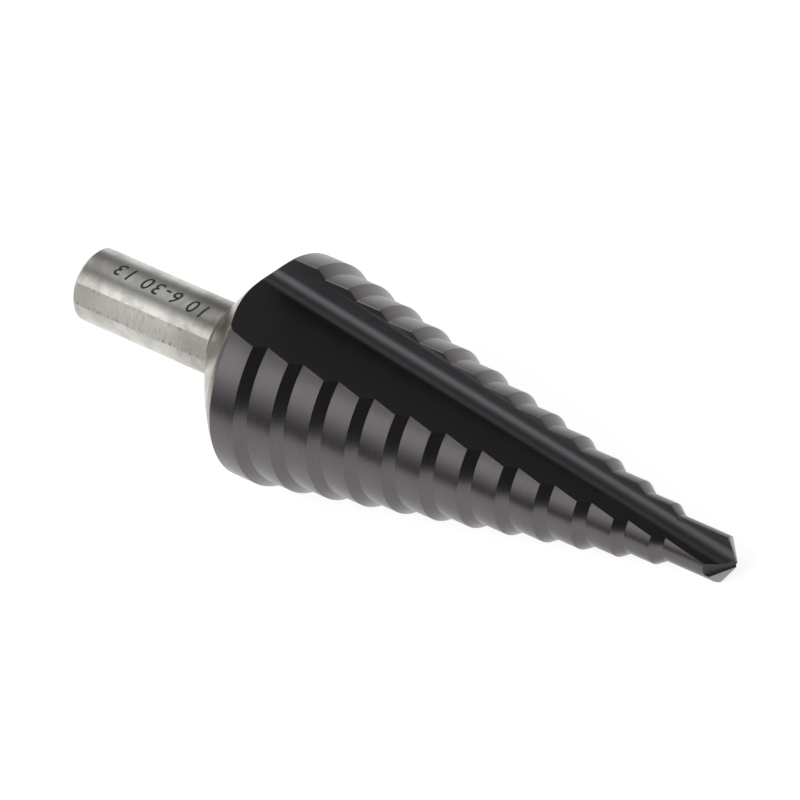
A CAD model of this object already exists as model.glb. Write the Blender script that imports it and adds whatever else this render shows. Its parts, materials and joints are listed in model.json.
"""Step drill: a stepped, two-fluted body ground from one bar, on a round shank.

Sizes of the tool are in millimetres in the tool's own frame: Z runs along the
axis from the shank to the point, and Z = 0 is the rear edge of the largest
land.  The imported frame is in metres, and says where that axis lies.
"""
from __future__ import annotations

import json
import logging
import math
from dataclasses import asdict, dataclass, field, fields
from enum import Enum
from typing import Any, Callable

import bmesh
import bpy
from bpy.types import Material, Mesh, Node, NodeSocket, NodeTree, Object, World
from mathutils import Matrix, Vector

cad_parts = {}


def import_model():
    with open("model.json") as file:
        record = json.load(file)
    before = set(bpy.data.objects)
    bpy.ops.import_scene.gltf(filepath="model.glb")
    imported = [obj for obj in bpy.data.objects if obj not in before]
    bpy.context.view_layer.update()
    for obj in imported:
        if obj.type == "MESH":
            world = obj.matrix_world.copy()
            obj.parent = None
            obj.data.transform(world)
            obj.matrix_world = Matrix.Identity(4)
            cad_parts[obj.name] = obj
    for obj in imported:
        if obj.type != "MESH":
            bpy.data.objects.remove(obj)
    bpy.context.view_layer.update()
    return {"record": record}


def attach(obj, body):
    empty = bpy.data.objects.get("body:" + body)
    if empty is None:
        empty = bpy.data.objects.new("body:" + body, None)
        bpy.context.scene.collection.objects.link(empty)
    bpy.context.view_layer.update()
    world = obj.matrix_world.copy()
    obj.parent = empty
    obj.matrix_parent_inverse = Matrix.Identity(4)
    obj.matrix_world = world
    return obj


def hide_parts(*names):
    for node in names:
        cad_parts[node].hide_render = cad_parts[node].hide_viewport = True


LOG = logging.getLogger("step_drill")
MM = 0.001
# attributes of the mesh: where a vertex lies on the tool, and the zone of a face
PLACE = "tool_place"
ZONE = "zone"
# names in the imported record
BODY = "root"
NODE = "step_drill"
# counts of the tool's features, and the whole-number inputs of its geometry tree
LIPS = 2
FLATS = 3
COUNTS = ("around", "edge_segments", "root_segments", "flank_segments")
# millimetres: points this near are one, what a blank or cutter has to spare, the
# radius within which a ring belongs to a flat end, and where the coating stops
WELD = 1e-4
SPARE = 1.0
END_RADIUS = 1.0
COATING_END = -0.02
# heights in millimetres between which the shank and neck change their finish
FRONT_DULLED = (-15.5, -11.5)
REAR_DULLED = (-24.0, -28.5)
ON_NECK = (-8.6, -7.2)
BEHIND_LAND = (-1.6, -0.1)
# the azimuth and elevation of the main light, in degrees
KEY = (-125.0, 42.0)


# ---------------------------------------------------------------- node writing
def operation(name: str, last: bool = False) -> Callable[..., Value]:
    """Makes a method that adds one Math node.

    Args:
        name: the node's operation.
        last: puts the method's own value after the other one.

    Returns:
        The method.
    """

    def method(value: Value, *others: Any) -> Value:
        """Adds the node and wraps its result."""
        order = [*others, value] if last else [value, *others]
        node = value.maker.node("ShaderNodeMath", {"operation": name}, order)
        return Value(value.maker, node.outputs[0])

    return method


class Value:
    """A number's socket in a node tree, on which arithmetic adds Math nodes.

    Angles are in radians.  The least and most of two values are the smaller
    and the larger; below and above give 1 where that holds, and else 0.
    """

    __add__ = __radd__ = operation("ADD")
    __sub__ = operation("SUBTRACT")
    __rsub__ = operation("SUBTRACT", last=True)
    __mul__ = __rmul__ = operation("MULTIPLY")
    __truediv__ = operation("DIVIDE")
    __rtruediv__ = operation("DIVIDE", last=True)
    __mod__ = operation("FLOORED_MODULO")
    __pow__ = operation("POWER")
    sin = operation("SINE")
    cos = operation("COSINE")
    tan = operation("TANGENT")
    atan = operation("ARCTANGENT")
    atan2 = operation("ARCTAN2")
    sqrt = operation("SQRT")
    abs = operation("ABSOLUTE")
    floor = operation("FLOOR")
    least = operation("MINIMUM")
    most = operation("MAXIMUM")
    below = operation("LESS_THAN")
    above = operation("GREATER_THAN")

    def __init__(self, maker: Maker, socket: NodeSocket) -> None:
        """Wraps a socket of one tree."""
        self.maker = maker
        self.socket = socket

    def __neg__(self) -> Value:
        """Negative."""
        return 0.0 - self

    def ramp(self, low: float, high: float) -> Value:
        """Eases from 0 at low to 1 at high.

        Args:
            low: the value that gives 0.
            high: the value that gives 1, which may be below low.

        Returns:
            The clamped ramp.
        """
        if low > high:
            return 1.0 - self.ramp(high, low)
        sockets = {"Value": self, "From Min": low, "From Max": high}
        settings = {"interpolation_type": "SMOOTHSTEP"}
        return Value(self.maker, self.maker.node("ShaderNodeMapRange", settings, sockets).outputs[0])


class Maker:
    """Adds nodes to one shader or geometry tree."""

    def __init__(self, tree: NodeTree) -> None:
        """Wraps a tree."""
        self.tree = tree

    def node(self, kind: str, settings: dict[str, Any] | None = None, sockets: Any = ()) -> Node:
        """Adds a node, sets what it is, and then fills or links its sockets.

        Args:
            kind: the node's type.
            settings: properties to set first; "items" gives an index switch its length.
            sockets: a list in socket order, or a dict by socket name or number.

        Returns:
            The new node.
        """
        node = self.tree.nodes.new(kind)
        for name, value in (settings or {}).items():
            if name == "items":
                while len(node.index_switch_items) < value:
                    node.index_switch_items.new()
            else:
                setattr(node, name, value)
        pairs = sockets.items() if isinstance(sockets, dict) else enumerate(sockets)
        for key, value in pairs:
            self._fill(node.inputs[key], value)
        return node

    def _fill(self, socket: NodeSocket, value: Any) -> None:
        """Links or sets one input socket.

        Args:
            socket: the input.
            value: a value, socket or node to link, a list of them, a constant, or None.
        """
        if isinstance(value, Value):
            value = value.socket
        if isinstance(value, Node):
            value = value.outputs[0]
        if isinstance(value, list):
            for part in value:
                self._fill(socket, part)
        elif isinstance(value, NodeSocket):
            self.tree.links.new(value, socket)
        elif value is not None:
            socket.default_value = value

    def value(self, socket: NodeSocket) -> Value:
        """Wraps a socket for arithmetic."""
        return Value(self, socket)

    def vector(self, x: Any, y: Any, z: Any) -> NodeSocket:
        """A vector from three numbers or values."""
        return self.node("ShaderNodeCombineXYZ", {}, [x, y, z]).outputs[0]

    def split(self, vector: Any) -> tuple[Value, Value, Value]:
        """The three values of a vector."""
        node = self.node("ShaderNodeSeparateXYZ", {}, [vector])
        return tuple(self.value(part) for part in node.outputs)


# ---------------------------------------------------------------- scene helpers
def into_scene(name: str, data: Any) -> Object:
    """Adds an object to the scene, at the origin.

    Args:
        name: its name.
        data: its mesh, text, lamp or camera.

    Returns:
        The new object.
    """
    added = bpy.data.objects.new(name, data)
    bpy.context.scene.collection.objects.link(added)
    return added


def taken_plain(holder: Object) -> Mesh:
    """Takes an object out of the scene.

    Args:
        holder: the object.

    Returns:
        What it evaluates to, as a plain mesh.
    """
    graph = bpy.context.evaluated_depsgraph_get()
    mesh = bpy.data.meshes.new_from_object(holder.evaluated_get(graph))
    bpy.data.objects.remove(holder)
    return mesh


def emptied(owner: Material | World) -> Maker:
    """Turns on and empties the nodes of a material or world.

    Args:
        owner: the material or world.

    Returns:
        The maker of its tree.
    """
    owner.use_nodes = True
    owner.node_tree.nodes.clear()
    return Maker(owner.node_tree)


# ------------------------------------------------------------- the drill's form
class Zone(Enum):
    """A zone of the drill that was finished in its own way."""

    COATED_LAND = "coated_land"
    COATED_FLUTE = "coated_flute"
    NOTCH = "notch"
    BARE_SHANK = "bare_shank"
    BARE_FLAT = "bare_flat"
    BARE_FLANK = "bare_flank"


@dataclass
class DrillSizes:
    """Every size of the drill, in millimetres and degrees."""

    smallest_diameter: float = 6.0
    largest_diameter: float = 30.0
    diameter_step: float = 2.0
    step_pitch: float = 5.0
    step_chamfer_length: float = 1.4
    largest_land_length: float = 3.6
    pilot_length: float = 7.3
    land_relief: float = 0.28
    point_angle: float = 118.0
    point_clearance: float = 14.0
    overall_length: float = 99.5
    shank_diameter: float = 10.0
    neck_length: float = 8.5
    neck_radius: float = 0.6
    neck_turn: float = 57.0
    back_bulge: float = 0.4
    shank_chamfer: float = 0.6
    flat_width: float = 2.9
    first_flat_angle: float = 27.0
    lip_angle: float = -58.5
    flute_angle: float = 100.0
    flute_root_radius: float = 2.0
    flute_depth_at_back: float = 4.12
    flute_root_at_point: float = 0.2
    notch_behind_lip: float = 55.0
    notch_drop: float = 0.25
    notch_slope: float = 45.0
    notch_angle: float = 104.0
    notch_root_radius: float = 0.25
    notch_web: float = 0.3
    edge_rounding: float = 0.1

    @property
    def steps(self) -> int:
        """How many steps lead down from the largest land to the pilot."""
        return round((self.largest_diameter - self.smallest_diameter) / self.diameter_step)

    @property
    def shank_end(self) -> float:
        """The height of the shank's rear face."""
        shoulder = self.largest_land_length + self.step_chamfer_length + self.pilot_length
        shoulder += (self.steps - 1) * self.step_pitch
        apex = shoulder + self.smallest_diameter / 2 / math.tan(math.radians(self.point_angle / 2))
        return apex - self.overall_length


@dataclass(frozen=True)
class Groove:
    """A V groove with a round root: its root line, its walls and its two ends.

    The root line passes through the place.  The first wall goes outward from
    it, and the second is turned from the first by the opening.
    """

    place: NodeSocket
    along: NodeSocket
    outward: NodeSocket
    opening: Value
    root_radius: Value
    reach: Value
    back: Value
    front: Value


@dataclass
class DrillForm:
    """The geometry tree that grinds the drill from its sizes."""

    sizes: DrillSizes = field(default_factory=DrillSizes)
    around: int = 300
    edge_segments: int = 3
    root_segments: int = 12
    flank_segments: int = 360
    neck_points: int = 8
    back_points: int = 12
    maker: Maker = field(init=False, repr=False)
    inputs: Node = field(init=False, repr=False)

    def build(self, materials: dict[str, Material]) -> Mesh:
        """Builds the tree, runs it once and keeps the plain mesh.

        Args:
            materials: the finish of each zone, by the name of its input.

        Returns:
            The drill's mesh in the tool's frame, in millimetres.
        """
        tree = bpy.data.node_groups.new("drill_form", "GeometryNodeTree")
        self._open_sockets(tree, list(materials))
        self.maker = Maker(tree)
        self.inputs = self.maker.node("NodeGroupInput")
        body = self._dressed(self._ground())
        self.maker.node("NodeGroupOutput", {}, [body])
        return self._run(tree, materials)

    def _open_sockets(self, tree: NodeTree, zones: list[str]) -> None:
        """Gives the tree its named inputs and its one output.

        Args:
            tree: the new tree.
            zones: the names of the inputs for finishes.
        """
        face = tree.interface
        face.new_socket("Geometry", in_out="OUTPUT", socket_type="NodeSocketGeometry")
        for size in fields(self.sizes):
            face.new_socket(size.name, in_out="INPUT", socket_type="NodeSocketFloat")
        for count in COUNTS:
            face.new_socket(count, in_out="INPUT", socket_type="NodeSocketInt")
        for zone in zones:
            face.new_socket(zone, in_out="INPUT", socket_type="NodeSocketMaterial")

    def _run(self, tree: NodeTree, materials: dict[str, Material]) -> Mesh:
        """Evaluates the tree on an empty mesh.

        Args:
            tree: the whole tree.
            materials: the finish of each zone, by the name of its input.

        Returns:
            The result as a plain mesh.
        """
        holder = into_scene("drill_blank", bpy.data.meshes.new("drill_blank"))
        modifier = holder.modifiers.new("drill_form", "NODES")
        modifier.node_group = tree
        given: dict[str, Any] = {**asdict(self.sizes), **materials}
        given.update({count: getattr(self, count) for count in COUNTS})
        for item in tree.interface.items_tree:
            if item.in_out == "INPUT":
                modifier[item.identifier] = given[item.name]
        return taken_plain(holder)

    def size(self, name: str) -> Value:
        """The value of one named input."""
        return self.maker.value(self.inputs.outputs[name])

    def turn(self, name: str) -> Value:
        """A named angle in radians."""
        return self.size(name) * (math.pi / 180)

    def _polar(self, radius: Any, angle: Value, height: Any) -> NodeSocket:
        """A point or direction from its radius, angle and height."""
        return self.maker.vector(angle.cos() * radius, angle.sin() * radius, height)

    def _index(self) -> Value:
        """The number of each point."""
        return self.maker.value(self.maker.node("GeometryNodeInputIndex").outputs[0])

    def _line(self, count: int, which: Value, places: list[Any]) -> Node:
        """A curve of points, each of which takes one of some places.

        Args:
            count: how many points.
            which: the number of each point's place.
            places: the places.

        Returns:
            The node that gives the curve.
        """
        make = self.maker
        settings = {"data_type": "VECTOR", "items": len(places)}
        place = make.node("GeometryNodeIndexSwitch", settings, [which, *places])
        line = make.node("GeometryNodeMeshLine", {}, {"Count": count})
        curve = make.node("GeometryNodeMeshToCurve", {}, [line])
        return make.node("GeometryNodeSetPosition", {}, {"Geometry": curve, "Position": place})

    def _moved(self, geometry: Any, shift: Any, rotation: Any = None) -> NodeSocket:
        """A mesh turned about the origin, and then moved."""
        sockets = {"Geometry": geometry, "Translation": shift, "Rotation": rotation}
        return self.maker.node("GeometryNodeTransform", {}, sockets).outputs[0]

    def _lip(self, lip: int) -> Value:
        """The angle of one lip."""
        return self.turn("lip_angle") + lip * math.tau / LIPS

    def _worked_out(self) -> None:
        """Works out the sizes that follow from the inputs."""
        self.body_radius = self.size("largest_diameter") / 2
        self.pilot_radius = self.size("smallest_diameter") / 2
        self.shank_radius = self.size("shank_diameter") / 2
        self.radius_step = self.size("diameter_step") / 2
        last_step = self.size("step_pitch") * (self.sizes.steps - 1)
        last_chamfer = self.size("step_chamfer_length") + self.size("pilot_length")
        self.point_shoulder = self.size("largest_land_length") + last_step + last_chamfer
        self.half_point = self.turn("point_angle") / 2
        self.apex = self.point_shoulder + self.pilot_radius / self.half_point.tan()
        self.shank_end = self.apex - self.size("overall_length")
        self.neck = -self.size("neck_length")

    def _outline(self) -> NodeSocket:
        """The turned outline as a curve, with a worn edge at every step.

        Returns:
            The curve, with the height along the axis as X and the radius as Y.
        """
        make = self.maker
        index = self._index()
        chamfer = self.size("shank_chamfer")
        tail = [
            (self.shank_end, 0.0),
            (self.shank_end, self.shank_radius - chamfer),
            (self.shank_end + chamfer, self.shank_radius),
        ]
        back_from = len(tail) + self.neck_points
        steps_from = back_from + self.back_points
        caps_from = steps_from + 2 * self.sizes.steps

        # the round neck, then the domed back up to the rear edge of the largest land
        def neck_at(share: Any) -> tuple[Value, Value]:
            """Height and radius on the neck's arc, from the shank (0) to the dome (1)."""
            turned = self.turn("neck_turn") * share
            bend = self.size("neck_radius")
            return self.neck + bend * turned.sin(), self.shank_radius + bend * (1 - turned.cos())

        neck = neck_at((index - len(tail)) / self.neck_points)
        foot_height, foot_radius = neck_at(1.0)
        along = (index - back_from) / (self.back_points - 1)
        run, rise = -foot_height, self.body_radius - foot_radius
        chord = (run * run + rise * rise).sqrt()
        proud = (1 - (2 * along - 1) ** 2) * self.size("back_bulge") / chord
        back = (foot_height + run * along - proud * rise, foot_radius + rise * along + proud * run)

        # two points a step: the end of the land and the end of its chamfer
        step = ((index - steps_from) / 2).floor()
        foot = (index - steps_from) % 2
        climb = step * self.size("step_pitch") + foot * self.size("step_chamfer_length")
        land_radius = self.body_radius - (step + foot) * self.radius_step
        steps = (self.size("largest_land_length") + climb, land_radius)

        # each stretch of points in turn, told apart half-way between two numbers
        blank_end = self.apex + SPARE
        places = [*tail, neck, back, steps, (blank_end, self.pilot_radius), (blank_end, 0.0)]
        which = index.least(len(tail)) + index.above(back_from - 0.5) + index.above(steps_from - 0.5)
        which = which + index.above(caps_from - 0.5) + index.above(caps_from + 0.5)
        vectors = [make.vector(height, radius, 0.0) for height, radius in places]

        # worn edges at the shank's end and the steps; none on the neck and dome
        at_steps = index.above(steps_from - 1.5) * index.below(caps_from - 0.5)
        at_shank = index.above(0.5) * index.below(len(tail) - 0.5)
        radius = (at_steps + at_shank) * self.size("edge_rounding")
        sockets = {
            "Curve": self._line(caps_from + 2, which, vectors),
            "Count": self.size("edge_segments"),
            "Radius": radius,
            "Limit Radius": True,
        }
        return make.node("GeometryNodeFilletCurve", {"mode": "POLY"}, sockets).outputs[0]

    def _turned(self) -> NodeSocket:
        """The blank: the outline turned, its lands relieved behind each lip.

        Returns:
            The closed blank.
        """
        make = self.maker
        outline = self._outline()
        length = make.node("GeometryNodeAttributeDomainSize", {"component": "CURVE"}, [outline]).outputs[0]
        around = self.size("around")
        grid = make.node("GeometryNodeMeshGrid", {}, {"Vertices X": length, "Vertices Y": around + 1})
        index = self._index()
        ring = (index / (around + 1)).floor()
        angle = (index % (around + 1)) / around * math.tau
        here = make.node("GeometryNodeInputPosition").outputs[0]
        settings = {"data_type": "FLOAT_VECTOR", "domain": "POINT"}
        sockets = {"Geometry": outline, "Value": here, "Index": ring}
        point = make.node("GeometryNodeSampleIndex", settings, sockets)
        height, radius, _ = make.split(point)

        relief = self.size("land_relief")
        behind = (self.turn("lip_angle") - angle) % (math.tau / LIPS)

        def relieved(land: Value) -> Value:
            """Radius at this angle of a land turned about its lip's own centre."""
            inner = (land - relief) ** 2 - (relief * behind.sin()) ** 2
            return relief * behind.cos() + inner.most(0.0).sqrt()

        stepped = relieved(radius)
        turned_back = radius.least(relieved(self.body_radius))
        is_back = height.below(0.0).most(radius.below(END_RADIUS))
        final = stepped + is_back * (turned_back - stepped)
        place = self._polar(final, angle, height)
        tube = make.node("GeometryNodeSetPosition", {}, {"Geometry": grid, "Position": place})
        return make.node("GeometryNodeFlipFaces", {}, [self._welded(tube)]).outputs[0]

    def _welded(self, node: Node) -> NodeSocket:
        """A node's mesh with the points that coincide made one."""
        sockets = {"Geometry": node, "Distance": WELD}
        return self.maker.node("GeometryNodeMergeByDistance", {}, sockets).outputs[0]

    def _groove(self, cut: Groove) -> NodeSocket:
        """Makes the cutter of a groove, with the profile of its wheel.

        Args:
            cut: the groove.

        Returns:
            The closed cutter.
        """
        make = self.maker
        index = self._index()
        first_wall, other_wall = make.vector(cut.reach, 0.0, 0.0), self._polar(cut.reach, cut.opening, 0.0)
        corners = [(0.0, 0.0, 0.0), first_wall, other_wall]
        placed = self._line(len(corners), index, corners)
        loop = make.node("GeometryNodeSetSplineCyclic", {}, {"Geometry": placed, "Cyclic": True})
        at_root = index.below(0.5) * cut.root_radius
        sockets = {"Curve": loop, "Count": self.size("root_segments"), "Radius": at_root}
        rounded = make.node("GeometryNodeFilletCurve", {"mode": "POLY"}, sockets)
        face = make.node("GeometryNodeFillCurve", {"mode": "NGONS"}, [rounded])
        offset = make.vector(0.0, 0.0, cut.back + cut.front)
        sockets = {"Mesh": face, "Offset": offset, "Individual": False}
        walls = make.node("GeometryNodeExtrudeMesh", {"mode": "FACES"}, sockets)
        end = make.node("GeometryNodeFlipFaces", {}, [face])
        joined = make.node("GeometryNodeJoinGeometry", {}, [[walls, end]])
        sockets = {"Geometry": self._welded(joined), "Offset": make.vector(0.0, 0.0, -cut.back)}
        drawn_back = make.node("GeometryNodeSetPosition", {}, sockets)
        settings = {"primary_axis": "Z", "secondary_axis": "X"}
        rotation = make.node("FunctionNodeAxesToRotation", settings, [cut.along, cut.outward])
        return self._moved(drawn_back, cut.place, rotation)

    def _flute(self, lip: int) -> NodeSocket:
        """The cutter in front of one lip; its root climbs towards the point.

        Args:
            lip: the lip's number.

        Returns:
            The closed cutter.
        """
        angle = self._lip(lip)
        at_back = self.body_radius - self.size("flute_depth_at_back")
        slope = ((at_back - self.size("flute_root_at_point")) / self.point_shoulder).atan()
        whole = self.size("largest_diameter")
        groove = Groove(
            place=self._polar(at_back, angle, 0.0),
            along=self._polar(-slope.sin(), angle, slope.cos()),
            outward=self._polar(slope.cos(), angle, slope.sin()),
            opening=self.turn("flute_angle"),
            root_radius=self.size("flute_root_radius"),
            reach=whole,
            back=whole,
            front=self.size("overall_length"),
        )
        return self._groove(groove)

    def _notch(self, lip: int) -> NodeSocket:
        """The cutter that splits the point behind one lip.

        Args:
            lip: the lip's number.

        Returns:
            The closed cutter.
        """
        angle = self._lip(lip) - self.turn("notch_behind_lip")
        slope = self.turn("notch_slope")
        height = self.apex - self.size("notch_drop")
        groove = Groove(
            place=self._polar(self.size("notch_web") / 2, angle + math.pi / 2, height),
            along=self._polar(slope.cos(), angle, -slope.sin()),
            outward=self._polar(slope.sin(), angle, slope.cos()),
            opening=self.turn("notch_angle"),
            root_radius=self.size("notch_root_radius"),
            reach=self.size("smallest_diameter"),
            back=self.pilot_radius,
            front=self.size("largest_diameter"),
        )
        return self._groove(groove)

    def _flank(self, lip: int) -> NodeSocket:
        """The cone that one lip's flank lies on, tipped about that lip.

        Args:
            lip: the lip's number.

        Returns:
            The closed cone.
        """
        make = self.maker
        height = 2 * self.size("overall_length")
        sockets = {
            "Vertices": self.size("flank_segments"),
            "Radius Top": 0.0,
            "Radius Bottom": height * self.half_point.tan(),
            "Depth": height,
        }
        cone = make.node("GeometryNodeMeshCone", {"fill_type": "NGON"}, sockets)
        at_origin = self._moved(cone, make.vector(0.0, 0.0, -height))
        down_lip = self._polar(self.half_point.sin(), self._lip(lip), -self.half_point.cos())
        tip = make.node("FunctionNodeAxisAngleToRotation", {}, [down_lip, self.turn("point_clearance")])
        return self._moved(at_origin, make.vector(0.0, 0.0, self.apex), tip)

    def _flats(self) -> NodeSocket:
        """Blocks, spaced around the shank, that cut the driving flats.

        Returns:
            The closed blocks.
        """
        make = self.maker
        flat_distance = (self.shank_radius**2 - (self.size("flat_width") / 2) ** 2).sqrt()
        front = self.neck + self.size("shank_chamfer") / 4
        length = front - self.shank_end + SPARE
        width = self.size("shank_diameter")
        block = make.node("GeometryNodeMeshCube", {}, {"Size": make.vector(width, width, length)})
        shift = make.vector(flat_distance + width / 2, 0.0, front - length / 2)
        moved = self._moved(block, shift)
        spots = make.node("GeometryNodeMeshLine", {}, {"Count": FLATS, "Offset": (0.0, 0.0, 0.0)})
        angle = self.turn("first_flat_angle") + self._index() * (math.tau / FLATS)
        rotation = make.node("FunctionNodeAxisAngleToRotation", {}, [(0.0, 0.0, 1.0), angle])
        sockets = {"Points": spots, "Instance": moved, "Rotation": rotation}
        ring = make.node("GeometryNodeInstanceOnPoints", {}, sockets)
        return make.node("GeometryNodeRealizeInstances", {}, [ring]).outputs[0]

    def _zoned(self, geometry: Any, zone: Zone, selection: Any = None) -> NodeSocket:
        """Notes the zone of faces, which outlasts the cuts.

        Args:
            geometry: the mesh.
            zone: the zone.
            selection: 1 on the faces to note, or None for all of them.

        Returns:
            The mesh with its zone.
        """
        settings = {"data_type": "INT", "domain": "FACE"}
        number = list(Zone).index(zone)
        sockets = {"Geometry": geometry, "Selection": selection, "Name": ZONE, "Value": number}
        return self.maker.node("GeometryNodeStoreNamedAttribute", settings, sockets).outputs[0]

    def _cut(self, body: Any, cutters: list[Any], keep: bool = False) -> NodeSocket:
        """Cuts a body with closed cutters.

        Args:
            body: the closed body.
            cutters: the closed cutters.
            keep: keeps what lies in all the cutters, in place of taking them away.

        Returns:
            The closed result.
        """
        settings = {"operation": "INTERSECT" if keep else "DIFFERENCE", "solver": "MANIFOLD"}
        sockets = {1: [body, *cutters]} if keep else {0: body, 1: cutters}
        return self.maker.node("GeometryNodeMeshBoolean", settings, sockets).outputs[0]

    def _ground(self) -> NodeSocket:
        """The whole drill: turned, flatted, fluted and pointed.

        Returns:
            The drill, with each face's zone.
        """
        self._worked_out()
        make = self.maker
        blank = self._zoned(self._turned(), Zone.COATED_LAND)
        height = make.split(make.node("GeometryNodeInputPosition").outputs[0])[2]
        blank = self._zoned(blank, Zone.BARE_SHANK, height.below(COATING_END))
        body = self._cut(blank, [self._zoned(self._flats(), Zone.BARE_FLAT)])
        body = self._cut(body, [self._zoned(self._flute(lip), Zone.COATED_FLUTE) for lip in range(LIPS)])
        flanks = [self._zoned(self._flank(lip), Zone.BARE_FLANK) for lip in range(LIPS)]
        body = self._cut(body, flanks, keep=True)
        body = self._cut(body, [self._zoned(self._notch(lip), Zone.NOTCH) for lip in range(LIPS)])
        return make.node("GeometryNodeRealizeInstances", {}, [body]).outputs[0]

    def _dressed(self, body: Any) -> NodeSocket:
        """Gives each zone's faces their finish.

        Args:
            body: the drill, with each face's zone.

        Returns:
            The drill with its finishes.
        """
        make = self.maker
        settings = {"data_type": "INT"}
        named = make.node("GeometryNodeInputNamedAttribute", settings, {"Name": ZONE})
        stored = make.value(named.outputs["Attribute"])
        for number, zone in enumerate(Zone):
            chosen = (stored - number).abs().below(0.5)
            sockets = {"Geometry": body, "Selection": chosen, "Material": self.inputs.outputs[zone.value]}
            body = make.node("GeometryNodeSetMaterial", {}, sockets).outputs[0]
        return body


# ------------------------------------------------------------------ finishes
class Marks(Enum):
    """Which way the fine lines of a wheel or a tool run."""

    AROUND = "around"
    ALONG = "along"
    ACROSS = "across"


@dataclass(frozen=True)
class Surface:
    """Where a shaded point lies on the tool: millimetres, and radians around the axis."""

    maker: Maker
    place: NodeSocket
    across: Value
    beside: Value
    height: Value

    @classmethod
    def on(cls, maker: Maker) -> Surface:
        """Reads the stored place, for a material's maker."""
        settings = {"attribute_type": "GEOMETRY", "attribute_name": PLACE}
        place = maker.node("ShaderNodeAttribute", settings).outputs["Vector"]
        return cls(maker, place, *maker.split(place))

    @property
    def radius(self) -> Value:
        """Distance from the axis."""
        return (self.across**2 + self.beside**2).sqrt()

    @property
    def angle(self) -> Value:
        """Angle around the axis."""
        return self.beside.atan2(self.across)

    def noise(self, vector: Any, scale: float, detail: float, roughness: float = 0.5) -> Value:
        """Soft noise from 0 to 1.

        Args:
            vector: where to read it.
            scale: patches to a unit of the vector.
            detail: how many finer layers it has.
            roughness: how strong the finer layers are.

        Returns:
            The noise.
        """
        sockets = {"Vector": vector, "Scale": scale, "Detail": detail, "Roughness": roughness}
        return self.maker.value(self.maker.node("ShaderNodeTexNoise", {}, sockets).outputs[0])

    def fleck(self) -> Value:
        """Fine noise that breaks wear up into specks."""
        return self.noise(self.place, 3.1, 5.0, 0.7)

    def marks(self, direction: Marks, fineness: float) -> Value:
        """The fine lines of grinding or turning, from 0 to 1.

        Args:
            direction: around the axis, along it, or across a flat.
            fineness: lines to a millimetre, about.

        Returns:
            The height of the lines.
        """
        make = self.maker
        if direction is Marks.AROUND:
            vector = make.vector(self.angle * 0.9, self.radius * fineness, self.height * fineness)
            return self.noise(vector, 1.0, 3.0, 0.65)
        if direction is Marks.ALONG:
            vector = make.vector(self.across * fineness, self.beside * fineness, self.height * 0.35)
            return self.noise(vector, 1.0, 3.0, 0.6)
        vector = make.vector(self.across * 0.25, self.beside * 0.25, self.height * fineness)
        return self.noise(vector, 1.0, 4.0, 0.7)


def tint(maker: Maker, factor: Any, first: Any, second: Any) -> NodeSocket:
    """Mixes two colours.

    Args:
        maker: the material's maker.
        factor: how much of the second colour there is.
        first: three numbers, or a socket.
        second: three numbers, or a socket.

    Returns:
        The mixed colour.
    """
    pair = [(*colour, 1.0) if isinstance(colour, tuple) else colour for colour in (first, second)]
    mix = maker.node("ShaderNodeMix", {"data_type": "RGBA"}, {0: factor, 6: pair[0], 7: pair[1]})
    return mix.outputs[2]


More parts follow.
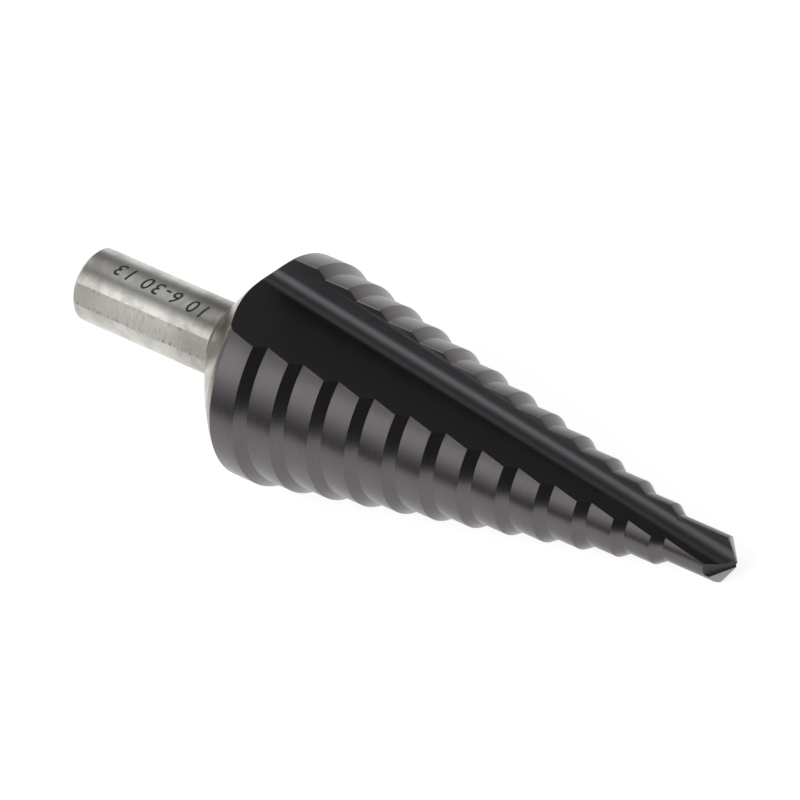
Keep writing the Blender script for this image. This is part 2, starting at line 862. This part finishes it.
@dataclass(frozen=True)
class Finish:
    """A metal finish: its colour, its gloss, and what wheel or tool made it."""

    zone: Zone
    colour: tuple[float, float, float]
    shade: tuple[float, float, float]
    roughness: float
    roughness_spread: float
    marks: Marks
    fineness: float
    depth: float
    metallic: float = 1.0

    def material(self, sizes: DrillSizes) -> Material:
        """Builds the node material.

        Args:
            sizes: the drill's sizes, for wear that follows its edges.

        Returns:
            The material.
        """
        material = bpy.data.materials.new(self.zone.value)
        make = emptied(material)
        here = Surface.on(make)
        marks = here.marks(self.marks, self.fineness)
        cloud = here.noise(here.place, 0.22, 3.0)
        mixed = (marks - 0.5) * 0.9 + (cloud - 0.5) * 0.5 + 0.5
        colour = tint(make, mixed.ramp(0.2, 0.8), self.shade, self.colour)
        rough = (marks - 0.5) * self.roughness_spread + (cloud - 0.5) * 0.06 + self.roughness
        colour, rough = self._worn(here, sizes, colour, rough)
        sockets = {"Strength": 1.0, "Distance": self.depth * MM, "Height": marks}
        bump = make.node("ShaderNodeBump", {}, sockets)
        sockets = {
            "Base Color": colour,
            "Metallic": self.metallic,
            "Roughness": rough.most(0.08).least(0.9),
            "Normal": bump,
        }
        shader = make.node("ShaderNodeBsdfPrincipled", {}, sockets)
        make.node("ShaderNodeOutputMaterial", {}, [shader])
        return material

    def _worn(self, here: Surface, sizes: DrillSizes, colour: Any, rough: Value) -> tuple[Any, Value]:
        """Adds what is worn or tinted in this zone.

        Args:
            here: the shaded place.
            sizes: the drill's sizes.
            colour: the colour so far.
            rough: the roughness so far.

        Returns:
            The colour and roughness with the wear.
        """
        if self.zone is Zone.COATED_LAND:
            return self._worn_land(here, sizes, colour, rough)
        if self.zone is Zone.COATED_FLUTE:
            return self._worn_flute(here, sizes, colour), rough
        if self.zone is Zone.BARE_SHANK:
            return self._worn_shank(here, colour, rough)
        if self.zone is Zone.BARE_FLAT:
            return self._worn_flat(here, sizes, colour, rough)
        return colour, rough

    @staticmethod
    def _worn_land(here: Surface, sizes: DrillSizes, colour: Any, rough: Value) -> tuple[Any, Value]:
        """Adds bright specks, most of them along the edges of the steps; see _worn."""
        pitch = (here.height - sizes.largest_land_length) % sizes.step_pitch
        near_edge = pitch.least(sizes.step_pitch - pitch).ramp(0.2, 0.04)
        specks = here.noise(here.place, 2.3, 3.0, 0.75).ramp(0.67, 0.73)
        worn = (near_edge * specks * 0.8).most(here.fleck().ramp(0.688, 0.715) * 0.8)
        return tint(here.maker, worn, colour, (0.5, 0.49, 0.48)), rough + worn * 0.1

    @staticmethod
    def _worn_flute(here: Surface, sizes: DrillSizes, colour: Any) -> Any:
        """Adds a darker wall away from the lip, and a few specks; see _worn."""
        past_lip = (here.angle - math.radians(sizes.lip_angle)) % (math.tau / LIPS)
        broad_wall = (here.radius * past_lip.sin()).ramp(1.4, 2.6)
        colour = tint(here.maker, broad_wall * 0.8, colour, (0.086, 0.08, 0.085))
        return tint(here.maker, here.fleck().ramp(0.73, 0.765) * 0.6, colour, (0.4, 0.39, 0.38))

    @staticmethod
    def _held(here: Surface) -> tuple[Value, Value]:
        """Blotches where a chuck held the shank, and how dull its two ends are."""
        blotches = here.noise(here.place, 0.5, 4.0, 0.6)
        ends = here.height.ramp(*FRONT_DULLED).most(here.height.ramp(*REAR_DULLED) * 0.6)
        return blotches, ends * (blotches * 1.2 + 0.35).least(1.0)

    def _worn_shank(self, here: Surface, colour: Any, rough: Value) -> tuple[Any, Value]:
        """Adds mottling, dull ends, a browner neck and a shaded back; see _worn."""
        blotches, ends = self._held(here)
        on_neck = here.height.ramp(*ON_NECK)
        stains = (
            (blotches.ramp(0.42, 0.62) * 0.38, (0.36, 0.35, 0.325)),
            (ends * 0.42, (0.2, 0.185, 0.15)),
            (on_neck * 0.85, (0.29, 0.265, 0.22)),
            (here.height.ramp(*BEHIND_LAND) * 0.3, (0.16, 0.15, 0.15)),
            (here.fleck().ramp(0.7, 0.78) * 0.5, (0.2, 0.19, 0.17)),
        )
        for amount, stain in stains:
            colour = tint(here.maker, amount, colour, stain)
        return colour, rough - on_neck * 0.05 + (blotches - 0.5) * 0.3

    def _worn_flat(self, here: Surface, sizes: DrillSizes, colour: Any, rough: Value) -> tuple[Any, Value]:
        """Adds scratches across the flats, dull ends, and burrs along both edges; see _worn."""
        ends = self._held(here)[1]
        vector = here.maker.vector(here.across * 0.5, here.beside * 0.5, here.height * 2.6)
        torn = here.noise(vector, 1.0, 4.0, 0.75)
        patch = here.noise(here.place, 0.3, 2.0).ramp(0.44, 0.56)
        scuffs = torn.ramp(0.56, 0.64) * patch * (1 - ends)
        grey = torn.ramp(0.46, 0.36) * patch
        third = math.tau / FLATS
        turned = (here.angle - math.radians(sizes.first_flat_angle) + third / 2) % third - third / 2
        near_side = (here.radius * turned.sin()).abs().ramp(0.75, 1.4)
        burred = here.noise(here.place, 0.7, 2.0).ramp(0.42, 0.52)
        burrs = near_side * torn.ramp(0.49, 0.41) * burred
        stains = (
            (ends * 0.4, (0.26, 0.245, 0.2)),
            (scuffs * 0.7, (0.97, 0.96, 0.93)),
            ((grey * 0.4).most(burrs * 0.75), (0.24, 0.23, 0.2)),
        )
        for amount, stain in stains:
            colour = tint(here.maker, amount, colour, stain)
        return colour, rough - scuffs * 0.12


@dataclass(frozen=True)
class MarkInk:
    """The dark laser mark on the shank."""

    colour: tuple[float, float, float] = (0.055, 0.052, 0.046)

    def material(self) -> Material:
        """Builds the node material."""
        material = bpy.data.materials.new("laser_mark")
        make = emptied(material)
        here = Surface.on(make)
        burn = here.noise(here.place, 6.0, 4.0, 0.7)
        colour = tint(make, burn.ramp(0.35, 0.75), self.colour, (0.15, 0.145, 0.13))
        sockets = {"Base Color": colour, "Metallic": 0.3, "Roughness": burn * 0.25 + 0.45}
        shader = make.node("ShaderNodeBsdfPrincipled", {}, sockets)
        make.node("ShaderNodeOutputMaterial", {}, [shader])
        return material


# zone, colour, shade, roughness, its spread, marks, their fineness and depth, metallic
FINISHES = (
    Finish(
        Zone.COATED_LAND, (0.142, 0.131, 0.138), (0.118, 0.109, 0.115), 0.28, 0.07, Marks.AROUND, 9.0, 0.001
    ),
    Finish(
        Zone.COATED_FLUTE, (0.11, 0.104, 0.112), (0.092, 0.087, 0.093), 0.32, 0.06, Marks.ALONG, 5.0, 0.001
    ),
    Finish(
        Zone.NOTCH, (0.095, 0.086, 0.086), (0.075, 0.069, 0.069), 0.5, 0.1, Marks.ALONG, 8.0, 0.001, 0.35
    ),
    Finish(
        Zone.BARE_SHANK, (0.62, 0.61, 0.575), (0.52, 0.51, 0.475), 0.27, 0.1, Marks.AROUND, 11.0, 0.0012
    ),
    Finish(Zone.BARE_FLAT, (0.84, 0.815, 0.765), (0.72, 0.7, 0.65), 0.5, 0.2, Marks.ACROSS, 3.5, 0.002),
    Finish(Zone.BARE_FLANK, (0.33, 0.32, 0.325), (0.23, 0.22, 0.225), 0.32, 0.1, Marks.ALONG, 9.0, 0.002),
)


# -------------------------------------------------------------------- the tool
@dataclass
class ToolFrame:
    """Where the tool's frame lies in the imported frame."""

    matrix: Matrix

    @classmethod
    def from_record(cls, record: dict[str, Any], sizes: DrillSizes) -> ToolFrame:
        """Works the frame out from the shank's end and the first driving flat.

        Args:
            record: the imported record.
            sizes: the drill's sizes.

        Returns:
            The frame, as a matrix from millimetres on the tool to metres.
        """
        mounts = {mount["name"]: mount for mount in record["mounts"]}
        axis = -Vector(mounts["shank_end"]["axis"]).normalized()
        flat = Vector(mounts["driving_flat"]["axis"]).normalized()
        across = Matrix.Rotation(-math.radians(sizes.first_flat_angle), 3, axis) @ flat
        across = (across - axis * across.dot(axis)).normalized()
        beside = axis.cross(across)
        origin = Vector(mounts["shank_end"]["pos_m"]) - axis * sizes.shank_end * MM
        turn = Matrix((across, beside, axis)).transposed().to_4x4()
        return cls(Matrix.Translation(origin) @ turn @ Matrix.Scale(MM, 4))

    def place(self, mesh: Mesh) -> None:
        """Stores each vertex's place on the tool, then moves the mesh to the frame.

        Args:
            mesh: a mesh in the tool's frame, in millimetres.
        """
        spots = [0.0] * (3 * len(mesh.vertices))
        mesh.vertices.foreach_get("co", spots)
        layer = mesh.attributes.new(PLACE, "FLOAT_VECTOR", "POINT")
        layer.data.foreach_set("vector", spots)
        mesh.transform(self.matrix)
        mesh.update()


@dataclass
class StepDrill:
    """The drill and the numbers marked on its shank."""

    frame: ToolFrame
    sizes: DrillSizes
    crease: float = 24.0
    mark_text: str = "10 6-30 13"
    mark_font_share: float = 0.72
    mark_height: float = 2.05
    mark_angle: float = -27.0
    mark_tilt: float = 3.2
    mark_start: float = -10.3
    mark_length: float = 15.7
    mark_skin: float = 0.02
    mark_weld: float = 1e-5
    mark_proud: float = 0.004
    mark_sunk: float = 0.03
    mark_slant: float = 0.28
    mark_strip: float = 0.15
    mark_stroke: float = 0.028
    mark_spacing: float = 1.23

    def body(self) -> Object:
        """Grinds, dresses and places the drill itself.

        Returns:
            The drill.
        """
        materials = {finish.zone.value: finish.material(self.sizes) for finish in FINISHES}
        mesh = DrillForm(self.sizes).build(materials)
        mesh.name = "drill"
        mesh.shade_smooth()
        mesh.set_sharp_from_angle(angle=math.radians(self.crease))
        self.frame.place(mesh)
        drill = into_scene("drill", mesh)
        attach(drill, BODY)
        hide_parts(NODE)
        return drill

    def mark(self) -> Object:
        """Wraps plain numbers around the shank as a thin closed skin.

        Returns:
            The numbers.
        """
        mesh = self._flat_text()
        low = min(vertex.co.x for vertex in mesh.vertices)
        high = max(vertex.co.x for vertex in mesh.vertices)
        spare = (self.mark_length - (high - low)) / 2
        radius = self.sizes.shank_diameter / 2
        for vertex in mesh.vertices:
            along = self.mark_start - spare - (vertex.co.x - low)
            aside = vertex.co.y - (vertex.co.x - low) * math.tan(math.radians(self.mark_tilt))
            around = math.radians(self.mark_angle) + aside / radius
            lift = radius + (self.mark_proud if vertex.co.z > 0 else -self.mark_sunk)
            vertex.co = (lift * math.cos(around), lift * math.sin(around), along)
        mesh.materials.clear()
        mesh.materials.append(MarkInk().material())
        self.frame.place(mesh)
        mark = into_scene("size_mark", mesh)
        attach(mark, BODY)
        return mark

    def _flat_text(self) -> Mesh:
        """Writes the numbers flat and cuts them into strips that can bend.

        Returns:
            The closed mesh, in millimetres.
        """
        curve = bpy.data.curves.new("size_mark", "FONT")
        curve.body = self.mark_text
        curve.size = self.mark_height / self.mark_font_share
        curve.shear = self.mark_slant
        curve.extrude = self.mark_skin
        curve.offset = self.mark_stroke
        curve.space_character = self.mark_spacing
        curve.resolution_u = 5
        curve.align_y = "CENTER"
        mesh = taken_plain(into_scene("size_mark", curve))
        form = bmesh.new()
        form.from_mesh(mesh)
        bmesh.ops.remove_doubles(form, verts=form.verts, dist=self.mark_weld)
        top = max(vertex.co.y for vertex in form.verts)
        strips = round(2 * top / self.mark_strip)
        for strip in range(-strips, strips + 1):
            geometry = [*form.verts, *form.edges, *form.faces]
            middle = (0, strip * self.mark_strip, 0)
            bmesh.ops.bisect_plane(form, geom=geometry, plane_co=middle, plane_no=(0, 1, 0))
        bmesh.ops.recalc_face_normals(form, faces=form.faces)
        form.to_mesh(mesh)
        form.free()
        return mesh


# ------------------------------------------------------------------ the studio
def heading(azimuth: float, elevation: float) -> Vector:
    """The direction of an azimuth and an elevation in degrees."""
    turn, climb = math.radians(azimuth), math.radians(elevation)
    return Vector((math.cos(turn) * math.cos(climb), math.sin(turn) * math.cos(climb), math.sin(climb)))


@dataclass(frozen=True)
class SoftBox:
    """A lamp with a white front: where it hangs, its size in metres and how bright its front is."""

    name: str
    azimuth: float
    elevation: float
    distance: float
    width: float
    height: float
    level: float

    def hang(self) -> None:
        """Hangs the lamp, facing the drill."""
        light = bpy.data.lights.new(self.name, "AREA")
        light.shape = "RECTANGLE"
        light.size, light.size_y = self.width, self.height
        light.energy = self.level * math.pi * self.width * self.height
        lamp = into_scene(self.name, light)
        towards = heading(self.azimuth, self.elevation)
        lamp.location = towards * self.distance
        lamp.rotation_mode = "QUATERNION"
        lamp.rotation_quaternion = towards.to_track_quat("Z", "Y")


@dataclass(frozen=True)
class Patch:
    """A soft-edged part of the room: its middle, outer and inner angles, and its level."""

    azimuth: float
    elevation: float
    outer: float
    inner: float
    level: float

    def share(self, make: Maker, direction: NodeSocket) -> Value:
        """1 within the inner angle of the middle, easing to 0 at the outer one.

        Args:
            make: the world's maker.
            direction: the direction that is looked in.

        Returns:
            The share.
        """
        middle = heading(self.azimuth, self.elevation)
        node = make.node("ShaderNodeVectorMath", {"operation": "DOT_PRODUCT"}, [direction, middle])
        edges = [math.cos(math.radians(angle)) for angle in (self.outer, self.inner)]
        return make.value(node.outputs["Value"]).ramp(*edges)


@dataclass
class Studio:
    """The camera, the pale floor and the soft light."""

    frame: ToolFrame
    image_side: float = 800.0
    focal_pixels: float = 5738.5
    pixels_per_mm: float = 7.94891
    origin_pixel: tuple[float, float] = (282.287, 365.067)
    turn_in_view: float = 23.6352
    point_towards_eye: float = 28.9717
    sensor_width: float = 36.0
    nearest: float = 0.01
    farthest: float = 50.0
    floor_half_side: float = 0.18
    floor_paint: float = 0.7
    floor_glow: float = 0.85
    room_level: float = 0.34
    backdrop_fade: tuple[float, float] = (0.32, -0.25)
    backdrop: Patch = Patch(108.0, 0.0, 85.0, 35.0, 1.65)
    dark_side: Patch = Patch(-35.0, 20.0, 115.0, 45.0, 0.08)
    glow: Patch = Patch(*KEY, 38.0, 8.0, 0.85)
    overhead: Patch = Patch(137.0, 57.0, 24.0, 5.0, 0.42)
    gap: Patch = Patch(100.0, 27.0, 30.0, 8.0, 0.2)
    key_box: SoftBox = SoftBox("key_box", *KEY, 1.7, 0.85, 0.8, 0.55)

    def camera(self) -> None:
        """Sets the camera at the viewing angle."""
        turn, lean = math.radians(self.turn_in_view), math.radians(self.point_towards_eye)
        tool = (math.cos(lean) * math.cos(turn), math.cos(lean) * math.sin(turn), -math.sin(lean))
        near = (-math.sin(lean) * math.cos(turn), -math.sin(lean) * math.sin(turn), -math.cos(lean))
        down = (-math.sin(turn), math.cos(turn), 0.0)
        # rows: the camera's right, down and forward on the tool's axes
        rows = [Vector((near[i], down[i], tool[i])) for i in range(3)]
        centre = self.image_side / 2
        offset = [(pixel - centre) / self.pixels_per_mm for pixel in self.origin_pixel]
        offset.append(self.focal_pixels / self.pixels_per_mm)
        eye = -sum((row * part for row, part in zip(rows, offset)), Vector())
        turned = Matrix((rows[0], -rows[1], -rows[2])).transposed()
        view = self.frame.matrix @ Matrix.Translation(eye) @ turned.to_4x4()
        lens = bpy.data.cameras.new("camera")
        lens.sensor_width = self.sensor_width
        lens.lens = self.focal_pixels / self.image_side * lens.sensor_width
        lens.clip_start = self.nearest
        lens.clip_end = self.farthest
        camera = into_scene("camera", lens)
        location, rotation, _ = view.decompose()
        camera.location = location
        camera.rotation_mode = "QUATERNION"
        camera.rotation_quaternion = rotation
        bpy.context.scene.camera = camera

    def floor(self) -> None:
        """A plain pale floor that keeps the object's shadow."""
        mesh = bpy.data.meshes.new("floor")
        side = self.floor_half_side
        corners = [(-side, -side, 0), (side, -side, 0), (side, side, 0), (-side, side, 0)]
        mesh.from_pydata(corners, [], [(0, 1, 2, 3)])
        floor = into_scene("floor", mesh)
        material = bpy.data.materials.new("floor")
        make = emptied(material)
        paint = make.node("ShaderNodeBsdfDiffuse", {}, {"Color": (*[self.floor_paint] * 3, 1.0)})
        glow = make.node("ShaderNodeEmission", {}, {"Strength": self._seen(make) * self.floor_glow})
        both = make.node("ShaderNodeAddShader", {}, [paint, glow])
        make.node("ShaderNodeOutputMaterial", {}, [both])
        mesh.materials.append(material)

    @staticmethod
    def _seen(make: Maker) -> Value:
        """1 for what the camera sees, straight or in metal or glass.

        Args:
            make: the tree's maker.

        Returns:
            1 or 0.
        """
        path = make.node("ShaderNodeLightPath").outputs
        seen = make.value(path["Is Camera Ray"]).most(make.value(path["Is Glossy Ray"]))
        return seen.most(make.value(path["Is Transmission Ray"]))

    def room(self) -> None:
        """The room: white to the camera, a pale low backdrop, and dim above."""
        world = bpy.data.worlds.new("room")
        bpy.context.scene.world = world
        make = emptied(world)
        direction = make.node("ShaderNodeTexCoord").outputs["Generated"]
        up = make.split(direction)[2]
        backdrop = self.backdrop.share(make, direction) * up.ramp(*self.backdrop_fade)
        backdrop = (backdrop * self.backdrop.level).least(1.0)
        patches = (self.glow, self.overhead, self.gap)
        glow, overhead, gap = (patch.share(make, direction) * patch.level for patch in patches)
        darker = self.dark_side.share(make, direction) * (self.room_level - self.dark_side.level)
        level = glow + overhead - gap + self.room_level - darker
        # white straight to the camera, and in metal and glass where the backdrop stands
        camera = make.value(make.node("ShaderNodeLightPath").outputs["Is Camera Ray"])
        white = camera.most(self._seen(make) * backdrop)
        sockets = {"Color": (1.0, 1.0, 1.0, 1.0), "Strength": level + white * (1 - level)}
        background = make.node("ShaderNodeBackground", {}, sockets)
        make.node("ShaderNodeOutputWorld", {}, [background])

    def build(self) -> None:
        """Sets up the camera, the floor, the room and the light."""
        self.camera()
        self.floor()
        self.room()
        self.key_box.hang()
        bpy.context.scene.view_settings.view_transform = "Standard"


def main() -> None:
    """Builds the drill and its studio."""
    logging.basicConfig(level=logging.INFO, format="%(message)s")
    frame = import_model()
    sizes = DrillSizes()
    tool = ToolFrame.from_record(frame["record"], sizes)
    Studio(tool).build()
    drill = StepDrill(tool, sizes)
    for piece in (drill.body(), drill.mark()):
        LOG.info("%s: %d faces", piece.name, len(piece.data.polygons))


if __name__ == "__main__":
    main()
